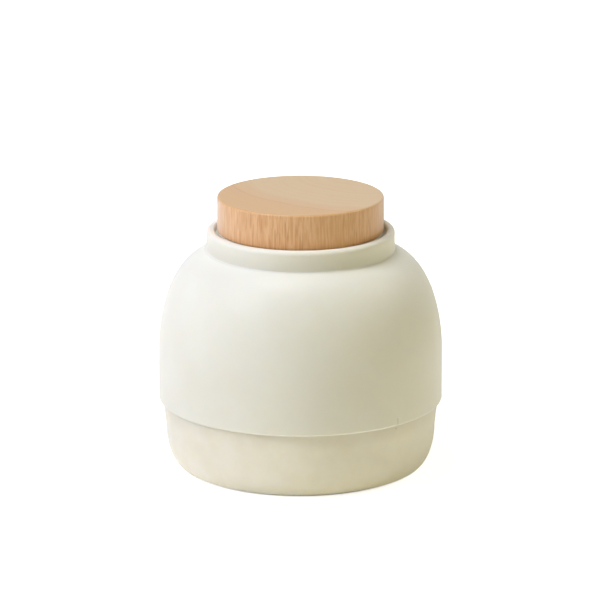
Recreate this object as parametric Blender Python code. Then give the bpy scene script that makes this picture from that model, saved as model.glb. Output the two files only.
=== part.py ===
"""Round wet wipe case: a domed cover with a neck, a cup-shaped base and a turned wooden lid.

A refill roll stands in the base. The cover pushes down over the base's spigot, a slit silicone
outlet sits in the cover's throat, and the lid plugs the throat from above.
Lengths are in metres, +Z is up, and the origin is on the floor under the case's axis.
"""

import math

import bmesh
import bpy
from mathutils import Matrix, Vector

# Clearances
SEAT_GAP = 0.0003
SPIGOT_CLEARANCE = 0.0005
SKIRT_CLEARANCE = 0.0008
PLUG_CLEARANCE = 0.0012

# Roundings that several pieces share: a moulded edge, and an edge that leads one piece into another
EDGE_BREAK = 0.0004
LEAD_ROUND = 0.0006

# Cover: widest radius, heights stacked up from the floor, the two exponents of its shoulder, and the
# straight flare that ends the shoulder, which meets the neck higher than the curve would
BODY_RADIUS = 0.0735
COVER_WALL = 0.0024
SEAM_HEIGHT = 0.0355
STRAIGHT_HEIGHT = 0.0257
SHOULDER_RISE = 0.0530
SHOULDER_ROUNDNESS = 5.57
CROWN_ROUNDNESS = 1.86
FLARE_WIDTH = 0.0035
FLARE_RISE = 0.0007
EDGE_ROUND = 0.00135
STOP_BEAD_WIDTH = 0.0015
STOP_BEAD_HEIGHT = 0.0020

# Neck and throat, which are parts of the cover
NECK_RADIUS = 0.0486
NECK_WALL = 0.0044
NECK_HEIGHT = 0.0106
NECK_CREST_ROUND = 0.0026
NECK_FILLET = 0.0006
LEDGE_DEPTH = 0.0030
LEDGE_WIDTH = 0.0050
LEDGE_THICKNESS = 0.0028
THROAT_DEPTH = 0.0243
THROAT_WALL = 0.0024
SHELF_WIDTH = 0.0052
SHELF_THICKNESS = 0.0020

# Mark at the seam: a groove up from the cover's edge, over a dimple in the base a little to its right
MARK_ANGLE = math.radians(-47.7)
NOTCH_WIDTH = 0.0011
NOTCH_HEIGHT = 0.0042
NOTCH_DEPTH = 0.0009
DIMPLE_RADIUS = 0.0006
DIMPLE_DROP = 0.0012
DIMPLE_TURN = math.radians(0.9)

# Base
SEAM_INSET = 0.0021
BASE_WALL = 0.0030
BASE_TAPER = 0.0014
CORNER_WIDTH = 0.0092
CORNER_HEIGHT = 0.0215
FLOOR_THICKNESS = 0.0028
SPIGOT_HEIGHT = 0.0118
SPIGOT_WALL = 0.0013

# Gasket band round the spigot
BAND_HEIGHT = 0.0026
BAND_THICKNESS = 0.0008
BAND_RISE = 0.0052

# Feet
FOOT_COUNT = 4
FOOT_RADIUS = 0.0060
FOOT_THICKNESS = 0.0017
FOOT_PROUD = 0.0008
FOOT_INSET = 0.0065

# Outlet: a slit silicone disc and the ring that clamps it on the throat's shelf
OUTLET_RIM_THICKNESS = 0.0016
OUTLET_RIM_WIDTH = 0.0070
MEMBRANE_THICKNESS = 0.0012
MEMBRANE_RISE = 0.0022
MEMBRANE_DROP = 0.0006
OUTLET_HOLE_RADIUS = 0.0050
SLIT_COUNT = 8
SLIT_LENGTH = 0.0120
SLIT_WIDTH = 0.0008
CLAMP_WIDTH = 0.0033
CLAMP_HEIGHT = 0.0026
CLAMP_ROUND = 0.0009

# Lid: the wooden disc, and the plug that is screwed under it
LID_GAP = 0.0013
LID_RISE = 0.0175
LID_TOP_ROUND = 0.0010
LID_FOOT_ROUND = 0.0008
PLATE_INSET = 0.0007
PLATE_THICKNESS = 0.0015
SKIRT_WALL = 0.0020
GASKET_HEIGHT = 0.0030
GASKET_WIDTH = 0.0015
GASKET_LIP = 0.0005
FLANGE_HEIGHT = 0.0016
SCREW_COUNT = 3
SCREW_CIRCLE = 0.0200
SCREW_HEAD_RADIUS = 0.0028
SCREW_HEAD_HEIGHT = 0.0019
SCREW_HEAD_ROUND = 0.0009
SCREW_SHANK_RADIUS = 0.0014
SCREW_TIP = 0.0014
SCREW_BITE = 0.0090
DRIVE_WIDTH = 0.0007
DRIVE_LENGTH = 0.0028
DRIVE_DEPTH = 0.0010

# Fineness of the surfaces
BODY_STEPS = 56
NECK_STEPS = 40
SMALL_STEPS = 16
HALF_STEPS = 8
SHOULDER_POINTS = 11
CORNER_POINTS = 6
ARC_STEPS = 3
SHARP_ANGLE = math.radians(32)
MERGE_DISTANCE = 1e-6

# Heights above the floor
shoulder_start = SEAM_HEIGHT + STRAIGHT_HEIGHT
neck_foot = shoulder_start + SHOULDER_RISE + FLARE_RISE
rim = neck_foot + NECK_HEIGHT
ledge = rim - LEDGE_DEPTH
shelf_under = ledge - THROAT_DEPTH
shelf = shelf_under + SHELF_THICKNESS
outlet_seat = shelf + SEAT_GAP
clamp_seat = outlet_seat + OUTLET_RIM_THICKNESS + SEAT_GAP
skirt_foot = clamp_seat + CLAMP_HEIGHT + PLUG_CLEARANCE
plate_under = ledge + SEAT_GAP
plate_top = plate_under + PLATE_THICKNESS
lid_under = plate_top + SEAT_GAP
lid_top = rim + LID_RISE
base_shoulder = SEAM_HEIGHT - SEAT_GAP
spigot_top = base_shoulder + SPIGOT_HEIGHT
corner_top = FOOT_PROUD + CORNER_HEIGHT
floor_top = FOOT_PROUD + FLOOR_THICKNESS
band_foot = base_shoulder + BAND_RISE
gasket_foot = skirt_foot + FLANGE_HEIGHT + SEAT_GAP

# Radii that follow from the fits
cover_inner = BODY_RADIUS - COVER_WALL
neck_inner = NECK_RADIUS - NECK_WALL
throat_inner = neck_inner - LEDGE_WIDTH
throat_outer = throat_inner + THROAT_WALL
shelf_inner = throat_inner - SHELF_WIDTH
fitting_radius = throat_inner - SEAT_GAP
lid_radius = neck_inner - LID_GAP
plate_radius = lid_radius - PLATE_INSET
skirt_outer = throat_inner - SKIRT_CLEARANCE
gasket_inner = fitting_radius - GASKET_LIP - GASKET_WIDTH
gasket_groove = gasket_inner - SEAT_GAP
skirt_inner = gasket_groove - SKIRT_WALL
base_radius = BODY_RADIUS - SEAM_INSET
base_waist = base_radius - BASE_TAPER
base_flat = base_waist - CORNER_WIDTH
spigot_outer = cover_inner - SPIGOT_CLEARANCE
band_outer = cover_inner - SEAT_GAP
band_inner = band_outer - BAND_THICKNESS
band_groove = band_inner - SEAT_GAP
spigot_inner = band_groove - SPIGOT_WALL
foot_circle = base_flat - FOOT_INSET - FOOT_RADIUS


def clear_scene():
    for obj in list(bpy.data.objects):
        bpy.data.objects.remove(obj, do_unlink=True)


def linear(red, green, blue):
    """A screen colour, 0 to 255, as the linear colour that a shader takes."""
    channels = [value / 255 for value in (red, green, blue)]
    return [c / 12.92 if c <= 0.04045 else ((c + 0.055) / 1.055) ** 2.4 for c in channels] + [1.0]


def material(name, colour, roughness, metallic=0.0):
    made = bpy.data.materials.new(name)
    made.use_nodes = True
    shader = made.node_tree.nodes["Principled BSDF"]
    shader.inputs["Base Color"].default_value = colour
    shader.inputs["Roughness"].default_value = roughness
    shader.inputs["Metallic"].default_value = metallic
    made.diffuse_color = colour
    return made


def rounded(corners):
    """Profile points for (radius, height, rounding) corners, each rounding an arc between its two sides.

    An arc is kept within half of its shorter side, and a corner with no rounding stays as it is.
    """
    points = []
    count = len(corners)
    for index, (radius, height, rounding) in enumerate(corners):
        corner = Vector((radius, height))
        if rounding <= 0:
            points.append(corner)
            continue
        before = Vector(corners[index - 1][:2]) - corner
        after = Vector(corners[(index + 1) % count][:2]) - corner
        half_angle = before.angle(after) / 2
        reach = min(rounding / math.tan(half_angle), 0.5 * before.length, 0.5 * after.length)
        inward = (before.normalized() + after.normalized()).normalized()
        centre = corner + inward * reach / math.cos(half_angle)
        start = corner + before.normalized() * reach - centre
        end = corner + after.normalized() * reach - centre
        turn = start.angle_signed(end)
        for step in range(ARC_STEPS + 1):
            spoke = start.copy()
            spoke.rotate(Matrix.Rotation(-turn * step / ARC_STEPS, 2))
            points.append(centre + spoke)
    return points


def turned_mesh(name, corners, steps, seat=0.0):
    """The closed surface that a closed profile sweeps round Z, with its heights counted from the seat."""
    form = bmesh.new()
    points = [form.verts.new((p.x, 0.0, p.y - seat)) for p in rounded(corners)]
    edges = [form.edges.new((points[i - 1], points[i])) for i in range(len(points))]
    on_axis = [edge for edge in edges if max(v.co.x for v in edge.verts) < MERGE_DISTANCE]
    for edge in on_axis:
        edges.remove(edge)
        form.edges.remove(edge)
    bmesh.ops.spin(
        form, geom=points + edges, axis=(0, 0, 1), cent=(0, 0, 0), angle=2 * math.pi, steps=steps,
        use_merge=True,
    )
    bmesh.ops.remove_doubles(form, verts=form.verts, dist=MERGE_DISTANCE)
    bmesh.ops.recalc_face_normals(form, faces=form.faces)
    mesh = bpy.data.meshes.new(name)
    form.to_mesh(mesh)
    form.free()
    mesh.shade_smooth()
    mesh.set_sharp_from_angle(angle=SHARP_ANGLE)
    return mesh


def prism_mesh(name, outline, low, high):
    """The solid between two heights over a closed outline of (x, y) points."""
    form = bmesh.new()
    face = form.faces.new([form.verts.new((x, y, low)) for x, y in outline])
    raised = bmesh.ops.extrude_face_region(form, geom=[face])["geom"]
    verts = [item for item in raised if isinstance(item, bmesh.types.BMVert)]
    bmesh.ops.translate(form, verts=verts, vec=(0, 0, high - low))
    bmesh.ops.recalc_face_normals(form, faces=form.faces)
    mesh = bpy.data.meshes.new(name)
    form.to_mesh(mesh)
    form.free()
    return mesh


def joined_mesh(name, parts):
    """One mesh that holds each (mesh, matrix) of parts, set in its place."""
    form = bmesh.new()
    for mesh, matrix in parts:
        copy = mesh.copy()
        copy.transform(matrix)
        form.from_mesh(copy)
        bpy.data.meshes.remove(copy)
    mesh = bpy.data.meshes.new(name)
    form.to_mesh(mesh)
    form.free()
    return mesh


def place(name, mesh, look=None, parent=None, location=(0, 0, 0)):
    """An object at a world location, which rides on its parent."""
    obj = bpy.data.objects.new(name, mesh)
    bpy.context.scene.collection.objects.link(obj)
    if look is not None:
        obj.data.materials.clear()
        obj.data.materials.append(look)
    obj.parent = parent
    obj.location = Vector(location) - world_place(parent)
    return obj


def world_place(parent):
    """Where a parent stands in the world, or the origin if there is none."""
    return parent.matrix_world.translation if parent else Vector()


def seat_empty(name, height, parent=None):
    """The frame of a moving body, on the axis that it lifts along."""
    empty = place(name, None, parent=parent, location=(0, 0, height))
    empty.empty_display_size = 0.01
    bpy.context.view_layer.update()
    return empty


def cut(target, mesh, location=(0, 0, 0)):
    """Takes the mesh's shape out of the target, from a hidden cutter at a world location."""
    cutter = place(mesh.name, mesh, location=location)
    cutter.hide_render = True
    cutter.display_type = "WIRE"
    boolean = target.modifiers.new(mesh.name, "BOOLEAN")
    boolean.operation = "DIFFERENCE"
    boolean.solver = "EXACT"
    boolean.object = cutter


def on_circle(radius, angle, height):
    return Vector((radius * math.cos(angle), radius * math.sin(angle), height))


def shoulder_points(radius, rise, count, inner_end):
    """Points of (r / radius) ** SHOULDER_ROUNDNESS + (z / rise) ** CROWN_ROUNDNESS = 1.

    They run outwards, from the one at inner_end to the top of the straight wall.
    """
    start = math.acos((inner_end / radius) ** (SHOULDER_ROUNDNESS / 2))
    points = []
    for step in range(count + 1):
        angle = start * (1 - step / count)
        r = radius * math.cos(angle) ** (2 / SHOULDER_ROUNDNESS)
        z = rise * math.sin(angle) ** (2 / CROWN_ROUNDNESS)
        points.append((r, shoulder_start + z))
    return points


def cover_profile():
    """Down the neck and the outside, round the lower edge, and up the inside to the throat."""
    reach = (NECK_RADIUS / BODY_RADIUS) ** SHOULDER_ROUNDNESS
    crown = SHOULDER_RISE / (1 - reach) ** (1 / CROWN_ROUNDNESS)
    outside = shoulder_points(BODY_RADIUS, crown, SHOULDER_POINTS, NECK_RADIUS + FLARE_WIDTH)
    inside = shoulder_points(cover_inner, crown - COVER_WALL, SHOULDER_POINTS, neck_inner)
    ceiling = ledge - LEDGE_THICKNESS
    bead = spigot_top + SEAT_GAP
    bead_inner = cover_inner - STOP_BEAD_WIDTH
    return (
        [
            (neck_inner, rim, NECK_WALL - NECK_CREST_ROUND),
            (NECK_RADIUS, rim, NECK_CREST_ROUND),
            (NECK_RADIUS, neck_foot, NECK_FILLET),
        ]
        + [(r, z, 0) for r, z in outside]
        + [
            (BODY_RADIUS, SEAM_HEIGHT, EDGE_ROUND),
            (cover_inner, SEAM_HEIGHT, 0),
            (cover_inner, bead, 0),
            (bead_inner, bead, 0),
            (bead_inner, bead + STOP_BEAD_HEIGHT, 0),
            (cover_inner, bead + STOP_BEAD_HEIGHT + STOP_BEAD_WIDTH, 0),
        ]
        + [(r, z, 0) for r, z in reversed(inside)]
        + [
            (neck_inner, ceiling, 0),
            (throat_outer, ceiling, 0),
            (throat_outer, shelf_under, 0),
            (shelf_inner, shelf_under, 0),
            (shelf_inner, shelf, 0),
            (throat_inner, shelf, 0),
            (throat_inner, ledge, LEAD_ROUND),
            (neck_inner, ledge, 0),
        ]
    )


def notch_mesh():
    """The groove's shape: a round-topped bar that starts under the cover's edge and enters its wall."""
    half = NOTCH_WIDTH / 2
    below = 2 * EDGE_ROUND
    outline = [(-below, -half)]
    for step in range(HALF_STEPS + 1):
        angle = math.pi * step / HALF_STEPS - math.pi / 2
        outline.append((NOTCH_HEIGHT - half + half * math.cos(angle), half * math.sin(angle)))
    outline.append((-below, half))
    mesh = prism_mesh("notch_cutter", outline, BODY_RADIUS - NOTCH_DEPTH, BODY_RADIUS + COVER_WALL)
    # The outline's X turns to world Z, and the prism's height to the way out from the axis.
    outwards = Matrix(((0, 0, 1, 0), (0, 1, 0, 0), (1, 0, 0, 0), (0, 0, 0, 1)))
    mesh.transform(Matrix.Rotation(MARK_ANGLE, 4, "Z") @ outwards)
    mesh.flip_normals()
    return mesh


def add_cover(look, parent):
    mesh = turned_mesh("dome_cover", cover_profile(), BODY_STEPS, SEAM_HEIGHT)
    cover = place("dome_cover", mesh, look, parent, (0, 0, SEAM_HEIGHT))
    cut(cover, notch_mesh(), (0, 0, SEAM_HEIGHT))
    return cover


def corner_points(radius, flat, low, high):
    """The quarter ellipse from the upright wall at a radius down to the flat underside."""
    points = []
    for step in range(CORNER_POINTS + 1):
        angle = math.pi / 2 * step / CORNER_POINTS
        points.append(
            (flat + (radius - flat) * math.cos(angle), high - (high - low) * math.sin(angle), 0)
        )
    return points


def base_profile():
    """Down the spigot and the outside, in under the floor, and up the inside."""
    outside = corner_points(base_waist, base_flat, FOOT_PROUD, corner_top)
    inside = corner_points(base_waist - BASE_WALL, base_flat - BASE_WALL / 2, floor_top, corner_top)
    return (
        [
            (spigot_inner, spigot_top, EDGE_BREAK),
            (spigot_outer, spigot_top, LEAD_ROUND),
            (spigot_outer, band_foot + BAND_HEIGHT + SEAT_GAP, 0),
            (band_groove, band_foot + BAND_HEIGHT + SEAT_GAP, 0),
            (band_groove, band_foot - SEAT_GAP, 0),
            (spigot_outer, band_foot - SEAT_GAP, 0),
            (spigot_outer, base_shoulder, 0),
            (base_radius, base_shoulder, EDGE_BREAK),
        ]
        + outside
        + [(0, FOOT_PROUD, 0), (0, floor_top, 0)]
        + inside[::-1]
        + [(spigot_inner, base_shoulder - BASE_WALL, 0)]
    )


def foot_angles():
    for index in range(FOOT_COUNT):
        yield 2 * math.pi * (index + 0.5) / FOOT_COUNT


def add_base(look):
    base = place("base_cup", turned_mesh("base_cup", base_profile(), BODY_STEPS), look)
    recess_radius = FOOT_RADIUS + SEAT_GAP
    recess_top = FOOT_THICKNESS + SEAT_GAP
    recess = turned_mesh(
        "foot_recess",
        [(0, recess_top, 0), (recess_radius, recess_top, 0), (recess_radius, 0, 0), (0, 0, 0)],
        SMALL_STEPS,
    )
    places = [(recess, Matrix.Translation(on_circle(foot_circle, a, 0))) for a in foot_angles()]
    cut(base, joined_mesh("foot_recess_cutter", places))
    half_circle = [math.pi * step / HALF_STEPS for step in range(HALF_STEPS + 1)]
    ball = [(DIMPLE_RADIUS * math.sin(a), DIMPLE_RADIUS * math.cos(a), 0) for a in half_circle]
    mark = on_circle(base_radius, MARK_ANGLE + DIMPLE_TURN, base_shoulder - DIMPLE_DROP)
    cut(base, turned_mesh("dimple_cutter", ball, SMALL_STEPS), mark)
    return base


def add_feet(look):
    pad = turned_mesh(
        "foot_pad",
        [
            (0, FOOT_THICKNESS, 0),
            (FOOT_RADIUS, FOOT_THICKNESS, 0),
            (FOOT_RADIUS, 0, EDGE_BREAK),
            (0, 0, 0),
        ],
        SMALL_STEPS,
    )
    for index, angle in enumerate(foot_angles()):
        place(f"foot_pad_{index + 1}", pad, look, location=on_circle(foot_circle, angle, 0))


def add_body_gasket(look):
    """A flat band in the spigot's groove, whose rounded outer face bears on the cover."""
    profile = [
        (band_inner, band_foot + BAND_HEIGHT, 0),
        (band_outer, band_foot + BAND_HEIGHT, LEAD_ROUND),
        (band_outer, band_foot, LEAD_ROUND),
        (band_inner, band_foot, 0),
    ]
    mesh = turned_mesh("body_gasket", profile, BODY_STEPS, band_foot)
    return place("body_gasket", mesh, look, location=(0, 0, band_foot))


def add_outlet(look, parent):
    """A silicone disc with a thick rim, a domed membrane, and slits that run out from its hole."""
    rim_inner = fitting_radius - OUTLET_RIM_WIDTH
    rim_top = outlet_seat + OUTLET_RIM_THICKNESS
    root_under = rim_top - MEMBRANE_THICKNESS
    lip_under = root_under + MEMBRANE_RISE
    slit_end = OUTLET_HOLE_RADIUS + SLIT_LENGTH
    bend = lip_under - MEMBRANE_DROP
    profile = [
        (OUTLET_HOLE_RADIUS, lip_under + MEMBRANE_THICKNESS, 0),
        (slit_end, bend + MEMBRANE_THICKNESS, 0),
        (rim_inner, rim_top, 0),
        (fitting_radius, rim_top, EDGE_BREAK),
        (fitting_radius, outlet_seat, EDGE_BREAK),
        (rim_inner, outlet_seat, 0),
        (rim_inner, root_under, 0),
        (slit_end, bend, 0),
        (OUTLET_HOLE_RADIUS, lip_under, 0),
    ]
    mesh = turned_mesh("outlet_diaphragm", profile, NECK_STEPS, outlet_seat)
    outlet = place("outlet_diaphragm", mesh, look, parent, (0, 0, outlet_seat))
    half = SLIT_WIDTH / 2
    start = OUTLET_HOLE_RADIUS / 2
    blade = prism_mesh(
        "slit",
        [(start, -half), (slit_end, -half), (slit_end, half), (start, half)],
        0,
        OUTLET_RIM_THICKNESS + MEMBRANE_THICKNESS + 2 * MEMBRANE_RISE,
    )
    turns = [
        (blade, Matrix.Rotation(2 * math.pi * (i + 0.5) / SLIT_COUNT, 4, "Z"))
        for i in range(SLIT_COUNT)
    ]
    cut(outlet, joined_mesh("slit_cutter", turns), (0, 0, outlet_seat))
    return outlet


def add_clamp_ring(look, parent):
    profile = [
        (fitting_radius - CLAMP_WIDTH, clamp_seat + CLAMP_HEIGHT, CLAMP_ROUND),
        (fitting_radius, clamp_seat + CLAMP_HEIGHT, EDGE_BREAK),
        (fitting_radius, clamp_seat, EDGE_BREAK),
        (fitting_radius - CLAMP_WIDTH, clamp_seat, 0),
    ]
    mesh = turned_mesh("outlet_clamp_ring", profile, NECK_STEPS, clamp_seat)
    return place("outlet_clamp_ring", mesh, look, parent, (0, 0, clamp_seat))


def screw_angles():
    for index in range(SCREW_COUNT):
        yield math.pi / 2 + 2 * math.pi * index / SCREW_COUNT


def hole_cutter(name, low, high):
    """The screws' clearance holes, as one cutter between two heights."""
    radius = SCREW_SHANK_RADIUS + SEAT_GAP
    hole = turned_mesh(
        "screw_hole", [(0, high, 0), (radius, high, 0), (radius, low, 0), (0, low, 0)], SMALL_STEPS
    )
    places = [(hole, Matrix.Translation(on_circle(SCREW_CIRCLE, a, 0))) for a in screw_angles()]
    return joined_mesh(name, places)


def add_wooden_lid(look, parent):
    profile = [
        (0, lid_top, 0),
        (lid_radius, lid_top, LID_TOP_ROUND),
        (lid_radius, lid_under, LID_FOOT_ROUND),
        (0, lid_under, 0),
    ]
    mesh = turned_mesh("wooden_lid", profile, BODY_STEPS, lid_under)
    lid = place("wooden_lid", mesh, look, parent, (0, 0, lid_under))
    cut(lid, hole_cutter("pilot_hole_cutter", lid_under - SEAT_GAP, lid_under + SCREW_BITE + SEAT_GAP))
    return lid


def add_lid_plug(look, parent):
    """A plate that rests on the throat's ledge, and a grooved skirt that enters the throat."""
    groove_foot = gasket_foot - SEAT_GAP
    groove_top = gasket_foot + GASKET_HEIGHT + SEAT_GAP
    profile = [
        (0, plate_top, 0),
        (plate_radius, plate_top, EDGE_BREAK),
        (plate_radius, plate_under, EDGE_BREAK),
        (skirt_outer, plate_under, 0),
        (skirt_outer, groove_top, 0),
        (gasket_groove, groove_top, 0),
        (gasket_groove, groove_foot, 0),
        (skirt_outer, groove_foot, 0),
        (skirt_outer, skirt_foot, LEAD_ROUND),
        (skirt_inner, skirt_foot, LEAD_ROUND),
        (skirt_inner, plate_under, 0),
        (0, plate_under, 0),
    ]
    mesh = turned_mesh("lid_plug", profile, NECK_STEPS, plate_under)
    plug = place("lid_plug", mesh, look, parent, (0, 0, plate_under))
    cut(plug, hole_cutter("plate_hole_cutter", plate_under - SEAT_GAP, plate_top + SEAT_GAP))
    return plug


def add_lid_gasket(look, parent):
    """A silicone ring whose two lips reach the throat's wall."""
    body = gasket_inner + GASKET_WIDTH
    lip = body + GASKET_LIP
    sixth = GASKET_HEIGHT / 6
    profile = [
        (gasket_inner, gasket_foot + GASKET_HEIGHT, 0),
        (body, gasket_foot + GASKET_HEIGHT, 0),
        (lip, gasket_foot + 5 * sixth, 0),
        (lip, gasket_foot + 4 * sixth, 0),
        (body, gasket_foot + 3 * sixth, 0),
        (lip, gasket_foot + 2 * sixth, 0),
        (lip, gasket_foot + sixth, 0),
        (body, gasket_foot, 0),
        (gasket_inner, gasket_foot, 0),
    ]
    mesh = turned_mesh("lid_gasket", profile, NECK_STEPS, gasket_foot)
    return place("lid_gasket", mesh, look, parent, (0, 0, gasket_foot))


def cross_outline(length, width):
    """The twelve corners of a cross."""
    a, b = length / 2, width / 2
    return [
        (a, -b), (a, b), (b, b), (b, a), (-b, a), (-b, b),
        (-a, b), (-a, -b), (-b, -b), (-b, -a), (b, -a), (b, -b),
    ]


def screw_mesh():
    """A pan-head screw, head down, whose seat under the head is at its origin."""
    length = SEAT_GAP + PLATE_THICKNESS + SEAT_GAP + SCREW_BITE
    profile = [
        (0, length, 0),
        (SCREW_SHANK_RADIUS, length - SCREW_TIP, 0),
        (SCREW_SHANK_RADIUS, 0, 0),
        (SCREW_HEAD_RADIUS, 0, 0),
        (SCREW_HEAD_RADIUS, -SCREW_HEAD_HEIGHT, SCREW_HEAD_ROUND),
        (0, -SCREW_HEAD_HEIGHT, 0),
    ]
    blank = place("screw_blank", turned_mesh("screw_blank", profile, SMALL_STEPS))
    drive = prism_mesh(
        "screw_drive",
        cross_outline(DRIVE_LENGTH, DRIVE_WIDTH),
        -2 * SCREW_HEAD_HEIGHT,
        DRIVE_DEPTH - SCREW_HEAD_HEIGHT,
    )
    cut(blank, drive)
    graph = bpy.context.evaluated_depsgraph_get()
    mesh = bpy.data.meshes.new_from_object(blank.evaluated_get(graph))
    bpy.data.objects.remove(blank, do_unlink=True)
    bpy.data.objects.remove(bpy.data.objects["screw_drive"], do_unlink=True)
    mesh.name = "lid_screw"
    return mesh


def add_screws(look, parent):
    mesh = screw_mesh()
    for index, angle in enumerate(screw_angles()):
        seat = on_circle(SCREW_CIRCLE, angle, plate_under - SEAT_GAP)
        place(f"lid_screw_{index + 1}", mesh, look, parent, seat)


def build():
    clear_scene()
    ivory = material("ivory_plastic", linear(240, 238, 226), 0.55)
    cream = material("cream_plastic", linear(232, 227, 205), 0.6)
    white = material("white_plastic", linear(238, 237, 230), 0.45)
    wood = material("rubberwood", linear(214, 180, 138), 0.6)
    silicone = material("clear_silicone", linear(214, 214, 208), 0.5)
    grey = material("grey_silicone", linear(176, 174, 166), 0.7)
    steel = material("stainless_steel", linear(188, 190, 194), 0.3, 1.0)

    add_base(cream)
    add_feet(grey)
    add_body_gasket(silicone)

    cover_seat = seat_empty("cover_seat", SEAM_HEIGHT)
    add_cover(ivory, cover_seat)
    add_outlet(silicone, cover_seat)
    add_clamp_ring(white, cover_seat)

    lid_seat = seat_empty("lid_seat", ledge, cover_seat)
    add_wooden_lid(wood, lid_seat)
    add_lid_plug(white, lid_seat)
    add_lid_gasket(silicone, lid_seat)
    add_screws(steel, lid_seat)


build()
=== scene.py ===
"""Looks of the round wet wipe case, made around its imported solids.

The file follows the case from the table up: base cup, feet, gasket band, domed cover, outlet, clamp
ring, lid plug, lid gasket, screws and wooden lid, and then the studio and the camera. Lengths are in
metres.
"""

import math

import bpy
import numpy as np
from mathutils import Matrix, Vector


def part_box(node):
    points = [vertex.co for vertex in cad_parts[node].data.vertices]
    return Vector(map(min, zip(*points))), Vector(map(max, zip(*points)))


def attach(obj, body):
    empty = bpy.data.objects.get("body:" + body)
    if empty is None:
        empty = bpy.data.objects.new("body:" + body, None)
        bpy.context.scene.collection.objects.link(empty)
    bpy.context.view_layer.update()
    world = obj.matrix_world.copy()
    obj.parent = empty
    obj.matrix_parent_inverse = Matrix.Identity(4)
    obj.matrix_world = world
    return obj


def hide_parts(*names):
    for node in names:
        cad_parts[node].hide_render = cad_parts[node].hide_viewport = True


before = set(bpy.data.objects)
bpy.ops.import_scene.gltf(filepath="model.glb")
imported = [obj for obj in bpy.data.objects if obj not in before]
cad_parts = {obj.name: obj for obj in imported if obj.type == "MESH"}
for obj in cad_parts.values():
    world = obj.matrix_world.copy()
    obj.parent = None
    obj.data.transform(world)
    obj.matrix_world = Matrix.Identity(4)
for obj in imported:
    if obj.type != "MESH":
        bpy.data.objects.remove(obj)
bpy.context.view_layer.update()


# Base cup. The real cup is one matt, cream-coloured moulding: a flat floor, a broad corner, a wall
# that widens slightly to the seam, and a thinner spigot that the cover pushes down over. A small
# round dimple under the seam meets the cover's mark.
cup_low, cup_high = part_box("base_cup")
CUP_WALL = 0.0030
CUP_TAPER = 0.0014
CUP_FLOOR = 0.0028
CORNER_WIDTH = 0.0092
CORNER_HEIGHT = 0.0215
SPIGOT_HEIGHT = 0.0118
SPIGOT_OUTER = 0.0706
SPIGOT_INNER = 0.0684
SPIGOT_FILLET = 0.0010
EDGE_BREAK = 0.0004
LEAD_ROUND = 0.0006
SMALL_ROUND = 0.0002
GROOVE_ROUND = 0.0001
SEAT_GAP = 0.0003
MARK_ANGLE = math.radians(-47.7)
MARK_SPAN = math.radians(2.2)
MARK_STEPS = 60
DIMPLE_TURN = math.radians(0.9)
DIMPLE_DROP = 0.0012
DIMPLE_RADIUS = 0.0007
DIMPLE_FLATNESS = 0.9
DIMPLE_ROWS = 21
CORNER_ROWS = 22
BODY_STEPS = 288
ARC_STEP = math.radians(11)
SHARP_ANGLE = math.radians(40)
cup_rim = cup_high.z
cup_shoulder = cup_rim - SPIGOT_HEIGHT
cup_waist = cup_high.x - CUP_TAPER
cup_flat = cup_waist - CORNER_WIDTH
corner_top = cup_low.z + CORNER_HEIGHT
floor_top = cup_low.z + CUP_FLOOR
band_low, band_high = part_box("body_gasket")
BAND_WIDTH = 0.0008
groove_radius = band_high.x - BAND_WIDTH - SEAT_GAP


def outline(corners, pitch=0.0012):
    """Rows of (r, z, edge) along a clockwise section through (r, z, rounding) corners.

    A rounding q is an arc of radius q that touches both sides of its corner, and a straight side gets a
    row at least every pitch. Edge is sin(pi s) at the share s of the way round an arc that bulges out,
    and 0 elsewhere. A section that starts on the axis ends there too, and isn't closed.
    """
    corners = np.array(corners, float)
    place, rounding = corners[:, :2], corners[:, 2:]
    back = np.roll(place, 1, axis=0) - place
    ahead = np.roll(place, -1, axis=0) - place
    back_length = np.linalg.norm(back, axis=1, keepdims=True)
    ahead_length = np.linalg.norm(ahead, axis=1, keepdims=True)
    back, ahead = back / back_length, ahead / ahead_length
    half = np.arccos(np.clip((back * ahead).sum(axis=1, keepdims=True), -1, 1)) / 2
    reach = np.minimum(rounding / np.tan(half), 0.5 * np.minimum(back_length, ahead_length))
    start, end = place + back * reach, place + ahead * reach
    bulges = ahead[:, 0] * back[:, 1] - ahead[:, 1] * back[:, 0] > 0
    rows = []
    for i in range(len(corners)):
        if rounding[i, 0] > 0:
            sweep = math.pi - 2 * half[i, 0]
            share = np.linspace(0, 1, max(4, round(sweep / ARC_STEP)) + 1)[:, None]
            middle = back[i] + ahead[i]
            centre = place[i] + middle / np.linalg.norm(middle) * reach[i] / math.cos(half[i, 0])
            first, last = start[i] - centre, end[i] - centre
            spoke = (np.sin((1 - share) * sweep) * first + np.sin(share * sweep) * last) / math.sin(sweep)
            rows.append(np.hstack([centre + spoke, np.sin(math.pi * share) * bulges[i]]))
        else:
            rows.append(np.array([[*place[i], 0.0]]))
        gap = np.roll(start, -1, axis=0)[i] - end[i]
        share = np.linspace(0, 1, int(np.linalg.norm(gap) / pitch) + 2)[1:-1, None]
        if i < len(corners) - 1 or place[0, 0] > 0:
            rows.append(np.hstack([end[i] + gap * share, np.zeros_like(share)]))
    return np.vstack(rows)


def around(steps, mark=None):
    """Angles once round: 2 pi k / steps, with finer ones in place of those near a mark."""
    even = np.arange(steps) * 2 * math.pi / steps
    if mark is None:
        return even
    away = (even - mark + math.pi) % (2 * math.pi) - math.pi
    fine = mark + np.linspace(-MARK_SPAN, MARK_SPAN, MARK_STEPS)
    return np.sort(np.concatenate([even[abs(away) > MARK_SPAN], fine % (2 * math.pi)]))


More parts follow.
